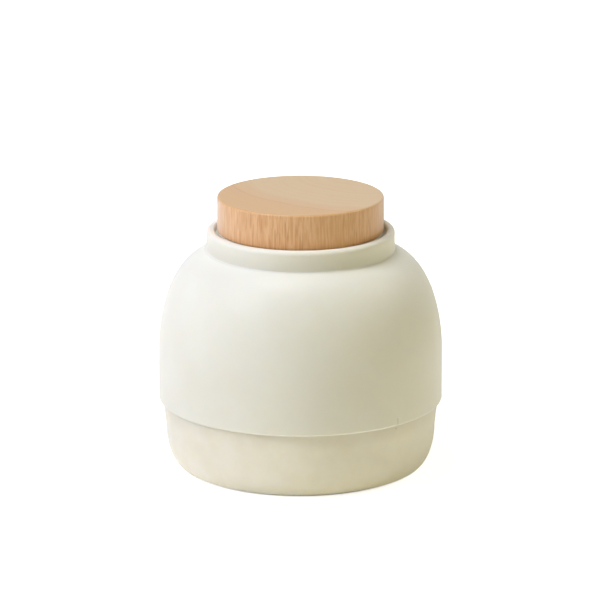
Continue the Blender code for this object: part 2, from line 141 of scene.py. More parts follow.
def revolve(rows, angles, relief=None, centre=(0, 0)):
    """Points, quads, triangles and edge values of the skin where row (r, z) at angle t lies at
    (r cos t, r sin t, z), for every row and angle.

    relief gives, from the grids of r, t and z, how far each point moves outwards and upwards. A section
    that starts and ends on the axis is closed there by a point at each end.
    """
    capped = rows[0, 0] == 0
    ends = rows[[0, -1]]
    if capped:
        rows = rows[1:-1]
    r, t = np.meshgrid(rows[:, 0], angles, indexing="ij")
    z = np.repeat(rows[:, 1:2], len(angles), axis=1)
    if relief is not None:
        outwards, upwards = relief(r, t, z)
        r, z = r + outwards, z + upwards
    points = np.stack([centre[0] + r * np.cos(t), centre[1] + r * np.sin(t), z], axis=-1).reshape(-1, 3)
    edge = np.repeat(rows[:, 2], len(angles))
    number = np.arange(r.size).reshape(r.shape)
    along = number[:-1] if capped else number
    below = number[1:] if capped else np.roll(number, -1, axis=0)
    quads = np.stack([along, below, np.roll(below, -1, axis=1), np.roll(along, -1, axis=1)], axis=-1)
    triangles = np.empty((0, 3), int)
    if capped:
        tips = np.array([[*centre, ends[0, 1]], [*centre, ends[1, 1]]])
        points = np.vstack([points, tips])
        edge = np.append(edge, [0, 0])
        first, last = number[0], number[-1]
        start_fan = np.stack([np.full_like(first, r.size), first, np.roll(first, -1)], axis=-1)
        end_fan = np.stack([np.full_like(last, r.size + 1), np.roll(last, -1), last], axis=-1)
        triangles = np.vstack([start_fan, end_fan])
    return points, quads.reshape(-1, 4), triangles, edge


def skin(name, points, quads, triangles, edge):
    """A smooth-shaded mesh with the edge values stored on its points."""
    mesh = bpy.data.meshes.new(name)
    mesh.from_pydata(points.tolist(), [], quads.tolist() + triangles.tolist())
    mesh.attributes.new("edge", "FLOAT", "POINT").data.foreach_set("value", edge.astype(np.float32))
    mesh.shade_smooth()
    mesh.set_sharp_from_angle(angle=SHARP_ANGLE)
    return mesh


def turned(name, rows, angles, relief=None, centre=(0, 0)):
    """The revolved section as one smooth mesh."""
    return skin(name, *revolve(rows, angles, relief, centre))


def add_piece(name, mesh, look, slot, body, *nodes):
    """Shows a mesh as a piece that rides on a body and stands for the named solids."""
    piece = bpy.data.objects.new(name, mesh)
    bpy.context.scene.collection.objects.link(piece)
    mesh.materials.append(look)
    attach(piece, body)
    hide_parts(*nodes)
    return piece


def linear(red, green, blue):
    """A screen colour, 0 to 255, as the linear colour that a shader takes."""
    channels = np.array([red, green, blue]) / 255
    curve = np.where(channels <= 0.04045, channels / 12.92, ((channels + 0.055) / 1.055) ** 2.4)
    return (*curve.tolist(), 1.0)


def node(tree, kind, inputs=None, **settings):
    """A shader node with its settings made, and each named or numbered input set or wired."""
    made = tree.nodes.new("ShaderNode" + kind)
    for key, value in settings.items():
        setattr(made, key, value)
    for key, value in (inputs or {}).items():
        if isinstance(value, bpy.types.NodeSocket):
            tree.links.new(value, made.inputs[key])
        else:
            made.inputs[key].default_value = value
    return made


def sums(tree, operation, *values):
    """The output of a Math node on up to three values."""
    return node(tree, "Math", dict(enumerate(values)), operation=operation).outputs[0]


def ease(tree, value, low, high, start=0.0, end=1.0):
    """A smooth step from start to end as the value goes from low to high."""
    inputs = {"Value": value, "From Min": low, "From Max": high, "To Min": start, "To Max": end}
    return node(tree, "MapRange", inputs, interpolation_type="SMOOTHSTEP").outputs[0]


def mixed(tree, factor, first, second):
    """The colour between two colours."""
    return node(tree, "Mix", {0: factor, 6: first, 7: second}, data_type="RGBA").outputs[2]


def new_group(name, inputs, outputs):
    """An empty shader node group with named inputs and outputs, and its two end nodes."""
    tree = bpy.data.node_groups.new(name, "ShaderNodeTree")
    for label, value in inputs.items():
        kind = "NodeSocketFloat" if isinstance(value, float) else "NodeSocketColor"
        tree.interface.new_socket(label, in_out="INPUT", socket_type=kind).default_value = value
    for label, kind in outputs.items():
        tree.interface.new_socket(label, in_out="OUTPUT", socket_type=kind)
    return tree, tree.nodes.new("NodeGroupInput").outputs, tree.nodes.new("NodeGroupOutput").inputs


SPECK_TO_GRAIN = 0.35
SPECK_RADIUS = 0.12
SPECK_SHARE = 0.12
CLOUD_RELIEF = 1.5
RUB_POLISH = 0.12
# The colour that the painted shade at a fold goes towards.
FOLD_SHADE_COLOUR = linear(120, 108, 84)


def make_moulded_skin():
    """Node group of a moulded surface: cloudy patches, small specks, fine grain, and a fold.

    Edges are lightened, as wear and as a painted highlight. A painted shade darkens the surface near the
    fold's height, and eases off over the reaches given above and below it.
    """
    inputs = {
        "Colour": (0.8, 0.8, 0.8, 1.0), "Cloud Colour": (0.7, 0.7, 0.7, 1.0),
        "Rub And Highlight Colour": (0.95, 0.945, 0.92, 1.0), "Cloud Size": 0.02, "Cloud Share": 0.5,
        "Grain Size": 0.0004, "Roughness": 0.5, "Roughness Range": 0.1, "Rub And Highlight": 0.5, "Fold Height": -1.0,
        "Soil Above": 0.001, "Soil Below": 0.001, "Fold Soil": 0.0,
    }
    outputs = {"Colour": "NodeSocketColor", "Roughness": "NodeSocketFloat", "Height": "NodeSocketFloat"}
    tree, given, result = new_group("moulded_skin", inputs, outputs)
    place = node(tree, "TexCoord").outputs["Object"]
    cloud_scale = sums(tree, "DIVIDE", 1.0, given["Cloud Size"])
    cloud_noise = {"Vector": place, "Scale": cloud_scale, "Detail": 5.0, "Roughness": 0.55}
    cloud = node(tree, "TexNoise", cloud_noise)
    grain_scale = sums(tree, "DIVIDE", 1.0, given["Grain Size"])
    grain_noise = {"Vector": place, "Scale": grain_scale, "Detail": 3.0, "Roughness": 0.6}
    grain = node(tree, "TexNoise", grain_noise)
    speck_scale = sums(tree, "MULTIPLY", grain_scale, SPECK_TO_GRAIN)
    speck = node(tree, "TexVoronoi", {"Vector": place, "Scale": speck_scale})
    edge = node(tree, "Attribute", attribute_name="edge").outputs["Fac"]
    # Edges lighten towards the rub colour: partly wear, partly a painted highlight on the rounded edges.
    rub_and_highlight_spots = sums(tree, "MULTIPLY", edge, ease(tree, cloud.outputs[0], 0.35, 0.6, 0.7, 1.0))
    rub_and_highlight = sums(tree, "MULTIPLY", rub_and_highlight_spots, given["Rub And Highlight"])
    # Painted shade: the colour darkens near the fold's height, where shade gathers.
    height = node(tree, "SeparateXYZ", {0: place}).outputs["Z"]
    above = sums(tree, "SUBTRACT", height, given["Fold Height"])
    below = sums(tree, "MULTIPLY", above, -1.0)
    near_above = ease(tree, above, given["Soil Above"], 0.0)
    near_below = ease(tree, below, given["Soil Below"], 0.0)
    near = sums(tree, "MULTIPLY", near_above, near_below)
    fold_shade = sums(tree, "MULTIPLY", near, given["Fold Soil"])
    cloudy = sums(tree, "MULTIPLY", ease(tree, cloud.outputs[0], 0.36, 0.66), given["Cloud Share"])
    specks = ease(tree, speck.outputs["Distance"], SPECK_RADIUS, 0.0)
    dotted = sums(tree, "MULTIPLY_ADD", specks, SPECK_SHARE, cloudy)
    coloured = mixed(tree, dotted, given["Colour"], given["Cloud Colour"])
    rubbed_and_highlit_colour = mixed(tree, rub_and_highlight, coloured, given["Rub And Highlight Colour"])
    tree.links.new(mixed(tree, fold_shade, rubbed_and_highlit_colour, FOLD_SHADE_COLOUR), result["Colour"])
    uneven = sums(tree, "SUBTRACT", grain.outputs[0], 0.5)
    rough = sums(tree, "MULTIPLY_ADD", uneven, given["Roughness Range"], given["Roughness"])
    tree.links.new(sums(tree, "MULTIPLY_ADD", rub_and_highlight, -RUB_POLISH, rough), result["Roughness"])
    raised = sums(tree, "MULTIPLY_ADD", cloud.outputs[0], CLOUD_RELIEF, grain.outputs[0])
    tree.links.new(raised, result["Height"])
    return tree


moulded_skin = make_moulded_skin()


def moulded(name, finish, grain_height, **shader):
    """A Principled material whose colour, roughness and bump come from the moulded skin's values."""
    look = bpy.data.materials.new(name)
    look.use_nodes = True
    tree = look.node_tree
    principled = tree.nodes["Principled BSDF"]
    surface = node(tree, "Group", node_tree=moulded_skin)
    for key, value in finish.items():
        surface.inputs[key].default_value = value
    bump_inputs = {"Height": surface.outputs["Height"], "Strength": 1.0, "Distance": grain_height}
    bump = node(tree, "Bump", bump_inputs)
    tree.links.new(surface.outputs["Colour"], principled.inputs["Base Color"])
    tree.links.new(surface.outputs["Roughness"], principled.inputs["Roughness"])
    tree.links.new(bump.outputs["Normal"], principled.inputs["Normal"])
    for key, value in shader.items():
        principled.inputs[key.replace("_", " ")].default_value = value
    return look


def corner_curve(radius, flat, low, high):
    """The quarter ellipse (flat + (radius - flat) cos t, high - (high - low) sin t), from the wall in."""
    turn = np.linspace(0, math.pi / 2, CORNER_ROWS)
    r = flat + (radius - flat) * np.cos(turn)
    z = high - (high - low) * np.sin(turn)
    return [(a, b, 0) for a, b in zip(r, z)]


def dimple_relief(r, t, z):
    """A bowl in the outer wall: a flattened root of radius^2 less distance^2 from its middle."""
    across = cup_high.x * ((t - MARK_ANGLE - DIMPLE_TURN + math.pi) % (2 * math.pi) - math.pi)
    distance = np.hypot(across, z - (cup_shoulder - DIMPLE_DROP))
    depth = np.sqrt(np.clip(DIMPLE_RADIUS**2 - distance**2, 0, None)) * DIMPLE_FLATNESS
    return np.where(r > cup_waist, -depth, 0), np.zeros_like(z)


dimple_rows = cup_shoulder - DIMPLE_DROP + DIMPLE_RADIUS * np.linspace(1, -1.4, DIMPLE_ROWS)
cup_slope = CUP_TAPER / (cup_shoulder - corner_top)
cup_section = (
    [(0, floor_top, 0)]
    + corner_curve(cup_waist - CUP_WALL, cup_flat - CUP_WALL / 2, floor_top, corner_top)[::-1]
    + [
        (SPIGOT_INNER, cup_shoulder - CUP_WALL, SPIGOT_FILLET),
        (SPIGOT_INNER, cup_rim, EDGE_BREAK),
        (SPIGOT_OUTER, cup_rim, LEAD_ROUND),
        (SPIGOT_OUTER, band_high.z + SEAT_GAP, GROOVE_ROUND),
        (groove_radius, band_high.z + SEAT_GAP, GROOVE_ROUND),
        (groove_radius, band_low.z - SEAT_GAP, GROOVE_ROUND),
        (SPIGOT_OUTER, band_low.z - SEAT_GAP, GROOVE_ROUND),
        (SPIGOT_OUTER, cup_shoulder, SMALL_ROUND),
        (cup_high.x, cup_shoulder, EDGE_BREAK),
    ]
    + [(cup_high.x - cup_slope * (cup_shoulder - z), z, 0) for z in dimple_rows]
    + corner_curve(cup_waist, cup_flat, cup_low.z, corner_top)
    + [(0, cup_low.z, 0)]
)
# The wall under the seam is darkened over about a centimetre by painted shade, where the cover's edge
# shades it.
cream = moulded(
    "cream_plastic",
    {
        "Colour": linear(244, 240, 225), "Cloud Colour": linear(238, 232, 213), "Cloud Size": 0.014,
        "Cloud Share": 0.55, "Grain Size": 0.00055, "Roughness": 0.48, "Roughness Range": 0.16, "Rub And Highlight": 0.1,
        "Fold Height": cup_shoulder, "Soil Above": 0.0010, "Soil Below": 0.0095, "Fold Soil": 0.12,
    },
    grain_height=0.000012,
    Specular_IOR_Level=0.2,
    Subsurface_Weight=0.8,
    Subsurface_Scale=0.0020,
    Subsurface_Radius=(1.0, 0.9, 0.7),
)
cup_skin = turned("base_cup_skin", outline(cup_section), around(BODY_STEPS, MARK_ANGLE), dimple_relief)
add_piece("base_cup_skin", cup_skin, cream, "cream_plastic", "base", "base_cup")


# Feet. Four die-cut silicone pads, pressed into round recesses in the underside, on which the case
# stands. Each has a softened lower edge.
FOOT_COUNT = 4
FOOT_ROUND = 0.0005
FOOT_STEPS = 64
grey_silicone = moulded(
    "grey_silicone",
    {
        "Colour": linear(176, 174, 166), "Cloud Colour": linear(160, 158, 150), "Cloud Size": 0.003,
        "Cloud Share": 0.5, "Grain Size": 0.00025, "Roughness": 0.72, "Roughness Range": 0.15, "Rub And Highlight": 0.2,
    },
    grain_height=0.000008,
)
for number in range(1, FOOT_COUNT + 1):
    foot_low, foot_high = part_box(f"foot_pad_{number}")
    foot_middle = (foot_low + foot_high) / 2
    foot_radius = (foot_high.x - foot_low.x) / 2
    foot_section = [
        (0, foot_high.z, 0),
        (foot_radius, foot_high.z, SMALL_ROUND),
        (foot_radius, foot_low.z, FOOT_ROUND),
        (0, foot_low.z, 0),
    ]
    foot_rows = outline(foot_section, pitch=0.0006)
    foot = turned(f"foot_{number}", foot_rows, around(FOOT_STEPS), centre=foot_middle[:2])
    add_piece(f"foot_{number}", foot, grey_silicone, "grey_silicone", "base", f"foot_pad_{number}")


# Gasket band. A soft, milky silicone ring in the spigot's groove, with two round beads on its outer
# face that press on the cover's wall and hold it.
BEAD_COUNT = 2
BEAD_DEPTH = 0.0003
BEAD_ROWS = 33
BAND_STEPS = 240
clear_silicone = moulded(
    "clear_silicone",
    {
        "Colour": linear(222, 221, 214), "Cloud Colour": linear(206, 206, 199), "Cloud Size": 0.006,
        "Cloud Share": 0.5, "Grain Size": 0.0003, "Roughness": 0.42, "Roughness Range": 0.12, "Rub And Highlight": 0.2,
    },
    grain_height=0.000006,
    Subsurface_Weight=0.35,
    Subsurface_Scale=0.0015,
    Subsurface_Radius=(1.0, 0.95, 0.85),
)
bead_share = np.linspace(0, 1, BEAD_ROWS)
bead_radii = band_high.x - BEAD_DEPTH * (1 - np.abs(np.sin(math.pi * BEAD_COUNT * bead_share)))
bead_heights = band_high.z + (band_low.z - band_high.z) * bead_share
band_section = (
    [(band_high.x - BAND_WIDTH, band_high.z, 0)]
    + [(r, z, 0) for r, z in zip(bead_radii, bead_heights)]
    + [(band_high.x - BAND_WIDTH, band_low.z, 0)]
)
band = turned("gasket_band", outline(band_section), around(BAND_STEPS))
add_piece("gasket_band", band, clear_silicone, "clear_silicone", "base", "body_gasket")


# Domed cover. One matt ivory moulding: a straight wall, a full shoulder that rolls in to a short neck
# with a soft crest, and inside the neck the lid's ledge, the throat and the outlet's shelf. A groove
# runs up from its lower edge, over the base's dimple. Under the neck the shoulder flares up a little.
cover_low, cover_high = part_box("dome_cover")
COVER_WALL = 0.0024
STRAIGHT_HEIGHT = 0.0257
SHOULDER_ROUNDNESS = 5.57
CROWN_ROUNDNESS = 1.86
FLARE_WIDTH = 0.0060
FLARE_RISE = 0.0007
LOWER_EDGE_ROUND = 0.00135
NECK_RADIUS = 0.0486
NECK_WALL = 0.0044
NECK_HEIGHT = 0.0106
CREST_ROUND = 0.0026
NECK_FILLET = 0.0006
LEDGE_FILLET = 0.0006
LEDGE_DEPTH = 0.0030
LEDGE_WIDTH = 0.0050
LEDGE_THICKNESS = 0.0028
THROAT_DEPTH = 0.0243
THROAT_WALL = 0.0024
SHELF_WIDTH = 0.0052
SHELF_THICKNESS = 0.0020
STOP_BEAD_WIDTH = 0.0015
STOP_BEAD_HEIGHT = 0.0020
STOP_BEAD_FILLET = 0.0005
MOULD_ROUND = 0.0003
NOTCH_WIDTH = 0.0011
NOTCH_HEIGHT = 0.0042
NOTCH_DEPTH = 0.0007
NOTCH_SIDE = 0.0005
NOTCH_MARGIN = 0.0006
NOTCH_PITCH = 0.00012
SKIN_DEPTH = 0.0003
OUTSIDE_ROWS = 90
INSIDE_ROWS = 60
cover_radius = cover_high.x
cover_inner = cover_radius - COVER_WALL
neck_foot = cover_high.z - NECK_HEIGHT
shoulder_start = cover_low.z + STRAIGHT_HEIGHT
shoulder_rise = neck_foot - FLARE_RISE - shoulder_start
neck_inner = NECK_RADIUS - NECK_WALL
throat_inner = neck_inner - LEDGE_WIDTH
throat_outer = throat_inner + THROAT_WALL
shelf_inner = throat_inner - SHELF_WIDTH
ledge = cover_high.z - LEDGE_DEPTH
shelf_under = ledge - THROAT_DEPTH


def shoulder_curve(radius, rise, inner_end, rows, lift=0.0):
    """Rows of (r / radius)^SHOULDER_ROUNDNESS + (z / rise)^CROWN_ROUNDNESS = 1, from inner_end out.

    The inner end is raised by lift, which falls off as a square over FLARE_WIDTH.
    """
    start = math.acos((inner_end / radius) ** (SHOULDER_ROUNDNESS / 2))
    turn = start * np.linspace(1, 0, rows)
    r = radius * np.cos(turn) ** (2 / SHOULDER_ROUNDNESS)
    flare = 1 - np.clip((r - inner_end) / FLARE_WIDTH, 0, 1)
    z = shoulder_start + rise * np.sin(turn) ** (2 / CROWN_ROUNDNESS) + lift * flare**2
    return [(a, b, 0) for a, b in zip(r, z)]


def notch_relief(r, t, z):
    """A groove of even depth inside a bar with a round top, whose sides ease in as 3 s^2 - 2 s^3."""
    across = cover_radius * ((t - MARK_ANGLE + math.pi) % (2 * math.pi) - math.pi)
    above = np.clip(z - (cover_low.z + NOTCH_HEIGHT - NOTCH_WIDTH / 2), 0, None)
    outside = np.hypot(across, above) - NOTCH_WIDTH / 2
    share = np.clip(0.5 - outside / (2 * NOTCH_SIDE), 0, 1)
    depth = NOTCH_DEPTH * share**2 * (3 - 2 * share)
    return np.where(r > cover_inner + SKIN_DEPTH, -depth, 0), np.zeros_like(z)


neck_share = (NECK_RADIUS / cover_radius) ** SHOULDER_ROUNDNESS
crown = shoulder_rise / (1 - neck_share) ** (1 / CROWN_ROUNDNESS)
stop_bead = cup_rim + SEAT_GAP
outside_shoulder = shoulder_curve(cover_radius, crown, NECK_RADIUS, OUTSIDE_ROWS, FLARE_RISE)
inside_shoulder = shoulder_curve(cover_inner, crown - COVER_WALL, neck_inner, INSIDE_ROWS)
notch_top = cover_low.z + NOTCH_HEIGHT + NOTCH_MARGIN
notch_rows = np.arange(notch_top, cover_low.z + 2 * LOWER_EDGE_ROUND, -NOTCH_PITCH)
# The shoulder's first two rows are left out, which gives the neck's fillet its room.
cover_section = (
    [
        (neck_inner, cover_high.z, NECK_WALL - CREST_ROUND),
        (NECK_RADIUS, cover_high.z, CREST_ROUND),
        (NECK_RADIUS, neck_foot, NECK_FILLET),
    ]
    + outside_shoulder[2:]
    + [(cover_radius, z, 0) for z in notch_rows]
    + [
        (cover_radius, cover_low.z, LOWER_EDGE_ROUND),
        (cover_inner, cover_low.z, SMALL_ROUND),
        (cover_inner, stop_bead, SMALL_ROUND),
        (cover_inner - STOP_BEAD_WIDTH, stop_bead, MOULD_ROUND),
        (cover_inner - STOP_BEAD_WIDTH, stop_bead + STOP_BEAD_HEIGHT, MOULD_ROUND),
        (cover_inner, stop_bead + STOP_BEAD_HEIGHT + STOP_BEAD_WIDTH, STOP_BEAD_FILLET),
    ]
    + inside_shoulder[::-1]
    + [
        (neck_inner, ledge - LEDGE_THICKNESS, LEDGE_FILLET),
        (throat_outer, ledge - LEDGE_THICKNESS, LEDGE_FILLET),
        (throat_outer, shelf_under, MOULD_ROUND),
        (shelf_inner, shelf_under, MOULD_ROUND),
        (shelf_inner, shelf_under + SHELF_THICKNESS, MOULD_ROUND),
        (throat_inner, shelf_under + SHELF_THICKNESS, SMALL_ROUND),
        (throat_inner, ledge, LEAD_ROUND),
        (neck_inner, ledge, EDGE_BREAK),
    ]
)
# Painted shade darkens the neck's wall for about a centimetre above its foot. The rounded edges, the crest
# and the  lower edge among them, are lightened as a painted highlight as well as wear.
ivory = moulded(
    "ivory_plastic",
    {
        "Colour": linear(240, 239, 227), "Cloud Colour": linear(236, 234, 220), "Cloud Size": 0.030,
        "Cloud Share": 0.45, "Grain Size": 0.00032, "Roughness": 0.42, "Roughness Range": 0.12, "Rub And Highlight": 0.9,
        "Fold Height": neck_foot, "Soil Above": 0.0085, "Soil Below": 0.0010, "Fold Soil": 0.11,
    },
    grain_height=0.000005,
    Specular_IOR_Level=0.2,
    Subsurface_Weight=0.8,
    Subsurface_Scale=0.0020,
    Subsurface_Radius=(1.0, 0.9, 0.75),
)
cover_rows = outline(cover_section)
cover_skin = turned("dome_cover_skin", cover_rows, around(BODY_STEPS, MARK_ANGLE), notch_relief)
add_piece("dome_cover_skin", cover_skin, ivory, "ivory_plastic", "cover", "dome_cover")


# Outlet. A soft silicone disc with a thick rim, which the clamp ring holds, and a thin domed membrane
# with slits out from its centre hole, so that the wipe drags through and the next one stays up.
outlet_low, outlet_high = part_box("outlet_diaphragm")
OUTLET_RIM = 0.0016
OUTLET_RIM_WIDTH = 0.0070
MEMBRANE = 0.0012
MEMBRANE_DROP = 0.0006
HOLE_RADIUS = 0.0050
HOLE_ROUND = 0.00045
SLIT_COUNT = 8
SLIT_LENGTH = 0.0120
SLIT_WIDTH = 0.0005
RIPPLE_DEPTH = 0.00018
RIPPLE_PITCH = 0.0022
THROAT_STEPS = 192
outlet_radius = outlet_high.x
rim_inner = outlet_radius - OUTLET_RIM_WIDTH
rim_top = outlet_low.z + OUTLET_RIM
slit_end = HOLE_RADIUS + SLIT_LENGTH
bend = outlet_high.z - MEMBRANE_DROP


def ripple_relief(r, t, z):
    """Rings in the membrane's upper face beyond the slits: depth times (1 - cos(2 pi r / pitch)) / 2."""
    share = np.clip((r - slit_end) / RIPPLE_PITCH, 0, 1) * np.clip((rim_inner - r) / RIPPLE_PITCH, 0, 1)
    wave = (1 - np.cos(2 * math.pi * (r - slit_end) / RIPPLE_PITCH)) / 2
    upper_face = bend + (rim_top - bend) * np.clip((r - slit_end) / (rim_inner - slit_end), 0, 1)
    on_it = z > upper_face - MEMBRANE / 4
    return np.zeros_like(r), np.where(on_it, -RIPPLE_DEPTH * wave * share, 0)


def carve(piece_mesh, cutter_mesh):
    """The mesh less the cutter's shape, by an exact Boolean on two short-lived objects."""
    target = bpy.data.objects.new("carve_target", piece_mesh)
    cutter = bpy.data.objects.new("carve_cutter", cutter_mesh)
    for obj in (target, cutter):
        bpy.context.scene.collection.objects.link(obj)
    boolean = target.modifiers.new("carve", "BOOLEAN")
    boolean.object = cutter
    graph = bpy.context.evaluated_depsgraph_get()
    carved = bpy.data.meshes.new_from_object(target.evaluated_get(graph))
    carved.name = piece_mesh.name
    for obj in (target, cutter):
        bpy.data.objects.remove(obj)
    return carved


def bars(name, half_width, near, far, low, high, turns):
    """Upright bars from one radius to another, one at each angle in turns."""
    corner_x = np.array([near, far, far, near, near, far, far, near])
    corner_y = half_width * np.array([-1, -1, 1, 1, -1, -1, 1, 1])
    corner_z = np.array([low] * 4 + [high] * 4)
    c, s = np.cos(turns)[:, None], np.sin(turns)[:, None]
    x, y = corner_x * c - corner_y * s, corner_x * s + corner_y * c
    points = np.stack([x, y, np.broadcast_to(corner_z, x.shape)], axis=-1).reshape(-1, 3)
    box = np.array([[3, 2, 1, 0], [4, 5, 6, 7], [0, 1, 5, 4], [1, 2, 6, 5], [2, 3, 7, 6], [3, 0, 4, 7]])
    faces = (box[None] + 8 * np.arange(len(turns))[:, None, None]).reshape(-1, 4)
    mesh = bpy.data.meshes.new(name)
    mesh.from_pydata(points.tolist(), [], faces.tolist())
    return mesh


outlet_section = [
    (HOLE_RADIUS, outlet_high.z, HOLE_ROUND),
    (slit_end, bend, 0),
    (rim_inner, rim_top, EDGE_BREAK),
    (outlet_radius, rim_top, EDGE_BREAK),
    (outlet_radius, outlet_low.z, EDGE_BREAK),
    (rim_inner, outlet_low.z, SMALL_ROUND),
    (rim_inner, rim_top - MEMBRANE, SMALL_ROUND),
    (slit_end, bend - MEMBRANE, 0),
    (HOLE_RADIUS, outlet_high.z - MEMBRANE, HOLE_ROUND),
]
slit_turns = 2 * math.pi * (np.arange(SLIT_COUNT) + 0.5) / SLIT_COUNT
slits = bars(
    "slits", SLIT_WIDTH / 2, HOLE_RADIUS / 2, slit_end, outlet_low.z, outlet_high.z + MEMBRANE, slit_turns
)
outlet_rows = outline(outlet_section, pitch=0.0004)
whole_disc = turned("outlet_disc", outlet_rows, around(THROAT_STEPS), ripple_relief)
membrane = carve(whole_disc, slits)
add_piece("outlet_disc", membrane, clear_silicone, "clear_silicone", "cover", "outlet_diaphragm")


# Clamp ring. A white moulded ring, pressed into the throat over the outlet's rim. Its inner top edge
# is rounded so that the wipe doesn't catch.
ring_low, ring_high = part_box("outlet_clamp_ring")
RING_WIDTH = 0.0033
RING_ROUND = 0.0009
white = moulded(
    "white_plastic",
    {
        "Colour": linear(238, 237, 230), "Cloud Colour": linear(230, 229, 221), "Cloud Size": 0.020,
        "Cloud Share": 0.4, "Grain Size": 0.0003, "Roughness": 0.40, "Roughness Range": 0.12, "Rub And Highlight": 0.4,
    },
    grain_height=0.000004,
)
ring_section = [
    (ring_high.x - RING_WIDTH, ring_high.z, RING_ROUND),
    (ring_high.x, ring_high.z, EDGE_BREAK),
    (ring_high.x, ring_low.z, EDGE_BREAK),
    (ring_high.x - RING_WIDTH, ring_low.z, SMALL_ROUND),
]
ring = turned("clamp_ring", outline(ring_section, pitch=0.0005), around(THROAT_STEPS))
add_piece("clamp_ring", ring, white, "white_plastic", "cover", "outlet_clamp_ring")


# Lid plug. A white moulded plate that rests on the throat's ledge, with a skirt that enters the throat
# and carries the lid's gasket in a groove. The screws pass through three holes in it.
plug_low, plug_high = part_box("lid_plug")
seal_low, seal_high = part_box("lid_gasket")
PLATE_THICKNESS = 0.0015
SKIRT_CLEARANCE = 0.0008
SKIRT_WALL = 0.0020
SKIRT_FILLET = 0.0010
SEAL_WIDTH = 0.0015
SEAL_LIP = 0.0005
SCREW_HOLE_RADIUS = 0.0017
HOLE_OVERRUN = 0.001
PEG_STEPS = 32
SCREW_CIRCLE = 0.0200
SCREW_COUNT = 3
plate_under = plug_high.z - PLATE_THICKNESS
skirt_outer = throat_inner - SKIRT_CLEARANCE
seal_inner = seal_high.x - SEAL_LIP - SEAL_WIDTH
seal_groove = seal_inner - SEAT_GAP
skirt_inner = seal_groove - SKIRT_WALL
plug_section = [
    (0, plug_high.z, 0),
    (plug_high.x, plug_high.z, EDGE_BREAK),
    (plug_high.x, plate_under, EDGE_BREAK),
    (skirt_outer, plate_under, MOULD_ROUND),
    (skirt_outer, seal_high.z + SEAT_GAP, GROOVE_ROUND),
    (seal_groove, seal_high.z + SEAT_GAP, GROOVE_ROUND),
    (seal_groove, seal_low.z - SEAT_GAP, GROOVE_ROUND),
    (skirt_outer, seal_low.z - SEAT_GAP, GROOVE_ROUND),
    (skirt_outer, plug_low.z, LEAD_ROUND),
    (skirt_inner, plug_low.z, LEAD_ROUND),
    (skirt_inner, plate_under, SKIRT_FILLET),
    (0, plate_under, 0),
]
screw_turns = math.pi / 2 + 2 * math.pi * np.arange(SCREW_COUNT) / SCREW_COUNT


def pegs(name, radius, low, high):
    """Upright round pegs as one mesh, at (circle cos t, circle sin t) for each of the screws' turns."""
    section = outline([(0, high, 0), (radius, high, 0), (radius, low, 0), (0, low, 0)], pitch=0.01)
    places = SCREW_CIRCLE * np.stack([np.cos(screw_turns), np.sin(screw_turns)], axis=-1)
    each = [revolve(section, around(PEG_STEPS), centre=place) for place in places]
    points = np.vstack([peg[0] for peg in each])
    quads = np.vstack([peg[1] + i * len(peg[0]) for i, peg in enumerate(each)])
    triangles = np.vstack([peg[2] + i * len(peg[0]) for i, peg in enumerate(each)])
    return skin(name, points, quads, triangles, np.zeros(len(points)))


plate_holes = pegs(
    "plate_holes", SCREW_HOLE_RADIUS, plate_under - HOLE_OVERRUN, plug_high.z + HOLE_OVERRUN
)
plug = carve(turned("plug_skin", outline(plug_section), around(THROAT_STEPS)), plate_holes)
add_piece("plug_skin", plug, white, "white_plastic", "lid", "lid_plug")


# Lid gasket. A milky silicone ring in the skirt's groove, with two soft lips that wipe the throat's
# wall and close it against drying out.
seal_body = seal_inner + SEAL_WIDTH
seal_step = (seal_high.z - seal_low.z) / 6
seal_section = [
    (seal_inner, seal_high.z, SMALL_ROUND),
    (seal_body, seal_high.z, GROOVE_ROUND),
    (seal_high.x, seal_high.z - seal_step, SMALL_ROUND),
    (seal_high.x, seal_high.z - 2 * seal_step, SMALL_ROUND),
    (seal_body, seal_high.z - 3 * seal_step, GROOVE_ROUND),
    (seal_high.x, seal_high.z - 4 * seal_step, SMALL_ROUND),
    (seal_high.x, seal_high.z - 5 * seal_step, SMALL_ROUND),
    (seal_body, seal_low.z, GROOVE_ROUND),
    (seal_inner, seal_low.z, SMALL_ROUND),
]
seal = turned("lid_seal", outline(seal_section, pitch=0.0004), around(THROAT_STEPS))
add_piece("lid_seal", seal, clear_silicone, "clear_silicone", "lid", "lid_gasket")


# Screws. Three short stainless pan-head screws with a cross drive, which run up through the plug's
# plate and bite into the wood.
HEAD_HEIGHT = 0.0019
HEAD_ROUND = 0.0011
SHANK_RADIUS = 0.00135
SHANK_TIP = 0.0018
SHANK_MARGIN = 0.0001
SHANK_CORNER = 0.0001
PLAIN_SHANK = 0.0032
THREAD_PITCH = 0.0010
THREAD_DEPTH = 0.00035
DRIVE_WIDTH = 0.0007
DRIVE_LENGTH = 0.0030
DRIVE_DEPTH = 0.0010
DRIVE_SIDE = 0.00016
HEAD_FACE = 0.0006
TURNED_LINE = 0.00035
TURNED_LINE_DEPTH = 0.000006
LINE_CLOSENESS = 8.0
SCREW_STEPS = 96


